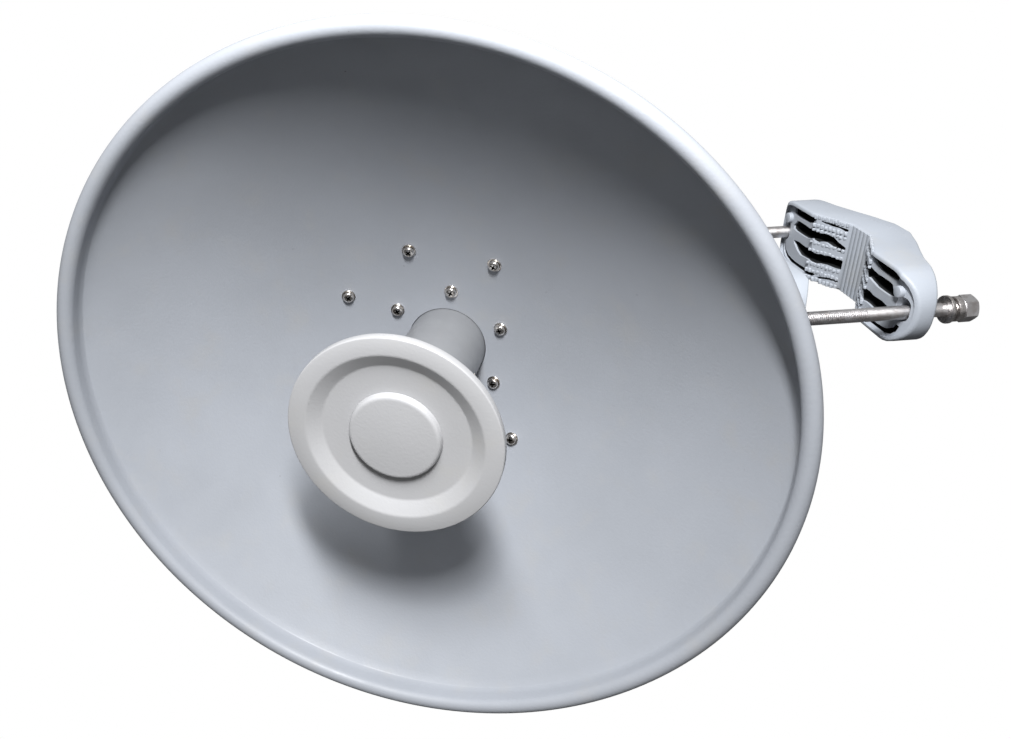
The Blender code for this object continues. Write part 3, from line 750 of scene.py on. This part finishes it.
def clamp_bolts():
    for name, side in (("near", 1), ("far", -1)):
        place = MAST @ Matrix.Translation((side * BOLT_ALONG, 0, -BOLT_DROP)) @ ALONG_Y
        core = [(0, -0.0095), (0.0036, -0.0095), (0.0043, -0.0089), (0.0043, 0.0620), (0.00495, 0.0634)]
        core += [(0.00495, 0.1334), (0, 0.1334)]
        shank = turned(core, 48, closed=False)
        ridge = thread(0.00495, 0.0015, -0.0090, 0.0632)
        head = from_mesh(hex_blank(0.1330, 0.1425, 0.017, (False, True)))
        rim = [(0, 0.1326), (0.0080, 0.1326), (0.0082, 0.1328), (0.0082, 0.1332), (0, 0.1332)]
        collar = turned(rim, 48, closed=False)
        spin = Matrix.Rotation(math.radians(11 if side > 0 else 37), 4, "Z")
        for shape in (head, collar):
            shape.transform(spin)
        mesh = join(f"{name}_hex_bolt", [shank, ridge, head, collar])
        mesh.transform(place)
        add_piece(f"{name}_hex_bolt", mesh, DRAWN_STEEL, "antenna", [f"{name}_clamp_bolt"], 30)

        ring = turned([(0.0053, 0.1220), (0.0100, 0.1220), (0.0100, 0.1244), (0.0053, 0.1244)], 64)
        round_edges(ring, sharp_edges(ring, 50), 0.0003, 2)
        ring.transform(place)
        plain = mesh_of("w", ring)
        add_piece(f"{name}_plain_washer", plain, STEEL, "antenna", [f"{name}_flat_washer"], 30)

        coil = split_washer(0.1274, 0.1326, 0.0090, 0.0053)
        coil.transform(Matrix.Rotation(math.radians(150), 4, "Z"))
        coil.transform(place)
        split = mesh_of("s", coil)
        add_piece(f"{name}_split_washer", split, STEEL, "antenna", [f"{name}_spring_washer"], 30)

        nut = from_mesh(hex_blank(-0.0063, 0.0017, 0.017))
        nut.transform(place)
        nut_mesh = mesh_of("n", nut)
        add_piece(f"{name}_hex_nut", nut_mesh, STEEL, "antenna", [f"{name}_clamp_nut"], 30)


def softened(name, node, width, finish):
    """A copy of a plain casting with its flats made whole and its edges rounded."""
    shape = bmesh.new()
    shape.from_mesh(frame["nodes"][node].data)
    clean(shape, 1e-5)
    bmesh.ops.dissolve_limit(
        shape, angle_limit=math.radians(1), use_dissolve_boundaries=False, verts=shape.verts, edges=shape.edges
    )
    mesh = eased(mesh_of(name, shape), width, 3, 30)
    return add_piece(name, mesh, finish, "antenna", [node], 40)


def hub_casting():
    """The round plate behind the bowl, with a boss, a stepped edge and short ribs between them."""
    plate, boss, foot = 0.112, 0.068, 0.072
    bore, thick, play = TUBE_RADIUS + 0.0006, 0.007, 0.0003
    rings = [bore + (plate - bore) * step / 16 for step in range(17)]
    front = [(ring, bowl_height(ring) - SHELL - play) for ring in rings]
    back = [(ring, bowl_height(ring) - SHELL - play - thick) for ring in (plate, 0.101, 0.090, 0.080, foot)]
    back[0] = (plate, back[0][1] + 0.0010)
    back.insert(1, (plate - 0.0010, back[1][1] + (plate - 0.001 - 0.101) * 0.33))
    rise = [(boss + 0.0012, back[-1][1] - 0.0020), (boss, back[-1][1] - 0.0040)]
    rise += [(boss, -0.1709), (boss - 0.0011, -0.1720)]
    shapes = [turned(front + back + rise + [(bore, -0.1720)], 128)]
    for number in range(12):
        inner, outer = boss - 0.001, 0.106
        height = [bowl_height(ring) - SHELL - play - thick + 0.001 for ring in (inner, outer)]
        outline = [(inner, height[0]), (outer, height[1]), (outer - 0.004, height[1] - 0.0022), (inner, -0.1650)]
        rib = prism(outline, -0.0016, 0.0016, 0.0005, 2)
        turn = Matrix.Rotation(math.radians(15 + 30 * number), 4, "Z")
        rib.transform(turn @ Matrix.Rotation(math.pi / 2, 4, "X"))
        shapes.append(rib)
    mesh = join("hub_casting", shapes)
    mesh.transform(DISH)
    add_piece("hub_casting", mesh, CAST_COATING, "antenna", ["hub_plate"], 35)


def feed_sockets():
    """Two screw sockets in the rear cap, each with a hexagon foot, a threaded barrel and a pin."""
    for name, side in (("left", -0.017), ("right", 0.017)):
        foot = from_mesh(hex_blank(-0.1960, -0.1923, 0.0190, (True, False)))
        section = [(0, -0.2020), (0.0010, -0.2020), (0.0010, -0.2080), (0.0014, -0.2085), (0.0014, -0.2030)]
        section += [(0.0052, -0.2025), (0.0052, -0.2118), (0.0066, -0.2118), (0.0069, -0.2114)]
        section += [(0.0069, -0.1950), (0, -0.1950)]
        barrel = turned(section, 48, closed=False)
        ridge = thread(0.0078, 0.00115, -0.2112, -0.1975)
        mesh = join(f"{name}_screw_socket", [foot, barrel, ridge])
        mesh.transform(DISH @ Matrix.Translation((side, 0, 0)))
        add_piece(f"{name}_screw_socket", mesh, BRASS, "antenna", [f"{name}_socket"], 30)


def tilt_fasteners():
    """The hexagon bolt and nut of the tilt joint's pivot, and the two that lock it."""
    for name, radius, flats, pitch in (
        ("pivot", 0.006, 0.018, 0.00175),
        ("upper_lock", 0.004, 0.013, 0.00125),
        ("lower_lock", 0.004, 0.013, 0.00125),
    ):
        low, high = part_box(f"{name}_nut")
        start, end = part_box(f"{name}_bolt")
        arm = DISH_PLACE[0] + 0.1397
        place = Matrix.Translation((0, (low[1] + high[1]) / 2, (low[2] + high[2]) / 2)) @ Matrix.Rotation(
            math.pi / 2, 4, "Y"
        )
        head = from_mesh(hex_blank(start[0], arm, flats, (True, False)))
        shank = turned([(0, arm - 0.001), (radius - 0.0003, arm - 0.001), (radius - 0.0003, end[0] - 0.0012)]
                       + [(radius - 0.0012, end[0] - 0.0002), (0, end[0] - 0.0002)], 40, closed=False)
        ridge = thread(radius, pitch, arm + 0.020, end[0] - 0.0012)
        mesh = join(f"{name}_hex_bolt", [head, shank, ridge])
        mesh.transform(place)
        add_piece(f"{name}_hex_bolt", mesh, DRAWN_STEEL, "antenna", [f"{name}_bolt"], 30)
        nut = from_mesh(hex_blank(low[0], high[0], flats))
        nut.transform(place)
        add_piece(f"{name}_hex_nut", mesh_of("nut", nut), STEEL, "antenna", [f"{name}_nut"], 30)


reflector()
sub_reflector()
bowl_screws()
jaw("outer_jaw_casting", OUTER_BACK, JAW_OPENING, 1, "outer_jaw", "clamp_jaw")
pad = prism([(-0.072, -0.035), (-0.004, -0.035), (-0.004, -0.010), (-0.072, -0.010)], -0.023, 0.023, 0.002, 3)
jaw("inner_jaw_casting", INNER_BACK, 0.0, -1, "inner_jaw", "antenna", [pad])
clamp_bolts()
hub_casting()
feed_sockets()
tilt_fasteners()
softened("arm_casting", "hub_arm", 0.0016, CAST_COATING)
softened("bracket_casting", "tilt_bracket", 0.0014, CAST_COATING)
softened("rear_cap", "feed_cap", 0.0010, CAST_COATING)

FINISH_OF = {
    "jaw_coating": CAST_COATING,
    "stainless": STEEL,
    "plated_brass": BRASS,
    "dish_coating": DISH_COATING,
    "feed_plastic": FEED_PLASTIC,
}
for entry in frame["record"]["subparts"]:
    thing = frame["nodes"][entry["node"]]
    for index in range(len(thing.material_slots)):
        thing.material_slots[index].material = FINISH_OF[entry["material_slot"]]


# Floor, light and camera

FLOOR = -1.25
floor = bmesh.new()
bmesh.ops.create_grid(floor, x_segments=8, y_segments=8, size=14)
floor.transform(Matrix.Translation((0, 0, FLOOR)))
floor_mesh = mesh_of("floor", floor)
ground = bpy.data.objects.new("floor", floor_mesh)
bpy.context.scene.collection.objects.link(ground)
pale, pale_tree, pale_shader = new_material("pale_floor")
pale_shader.inputs["Roughness"].default_value = 0.9
pale_shader.inputs["Base Color"].default_value = (0.12, 0.12, 0.12, 1)
paper = add_node(pale_tree, "ShaderNodeEmission")
seen = add_node(pale_tree, "ShaderNodeLightPath")
either = add_node(pale_tree, "ShaderNodeMixShader")
pale_tree.links.new(seen.outputs["Is Camera Ray"], either.inputs["Fac"])
pale_tree.links.new(pale_shader.outputs["BSDF"], either.inputs[1])
pale_tree.links.new(paper.outputs["Emission"], either.inputs[2])
pale_tree.links.new(either.outputs["Shader"], pale_tree.nodes["Material Output"].inputs["Surface"])
floor_mesh.materials.append(pale)

# A strip of soft panels above and in front of the dish, brightest a third of the way up
STRIP_START = Vector((0.0631, -0.8093, 0.7374))
STRIP_END = Vector((-0.2289, -0.5143, 1.0644))
STRIP_AIM = Vector((-0.2299, -0.0533, -0.1006))
STRIP_WIDTH = 0.105
PANEL_WATTS = (8.3, 11.9, 5.9, 4.8, 2.7)


def strip_light():
    along = (STRIP_END - STRIP_START) / 4
    run = along.normalized()
    down = STRIP_AIM - (STRIP_START + STRIP_END) / 2
    back = -(down - run * down.dot(run)).normalized()
    for number, watts in enumerate(PANEL_WATTS):
        lamp = bpy.data.lights.new(f"panel_{number}", "AREA")
        lamp.shape = "RECTANGLE"
        lamp.size = along.length
        lamp.size_y = STRIP_WIDTH
        lamp.energy = watts
        panel = bpy.data.objects.new(f"panel_{number}", lamp)
        place = Matrix.Translation(STRIP_START + along * (number + 0.5))
        panel.matrix_world = place @ Matrix((run, back.cross(run), back)).transposed().to_4x4()
        panel.visible_camera = False
        bpy.context.scene.collection.objects.link(panel)


strip_light()

world = bpy.data.worlds.new("studio")
bpy.context.scene.world = world
world.use_nodes = True
sky_tree = world.node_tree
sky = sky_tree.nodes["Background"]
sky.inputs["Color"].default_value = (1.0, 1.0, 1.0, 1)
seen = add_node(sky_tree, "ShaderNodeLightPath")
level = add_node(sky_tree, "ShaderNodeMapRange")
level.inputs["To Min"].default_value = 0.31
level.inputs["To Max"].default_value = 1.0
sky_tree.links.new(seen.outputs["Is Camera Ray"], level.inputs["Value"])
sky_tree.links.new(level.outputs["Result"], sky.inputs["Strength"])

camera_data = bpy.data.cameras.new("camera")
camera_data.sensor_width = 36
camera_data.lens = 32.553
camera_data.shift_x = 0.08955
camera_data.shift_y = -0.00646
camera_data.clip_start = 0.01
camera = bpy.data.objects.new("camera", camera_data)
right = Vector((0.9612, 0.2754, -0.0178))
up = Vector((-0.1132, 0.4525, 0.8845))
back = Vector((0.2517, -0.8482, 0.4661))
camera_place = Matrix.Translation((-0.0471, -0.6990, 0.2718))
camera.matrix_world = camera_place @ Matrix((right, up, back)).transposed().to_4x4()
bpy.context.scene.collection.objects.link(camera)
bpy.context.scene.camera = camera
bpy.context.scene.view_settings.view_transform = "Standard"
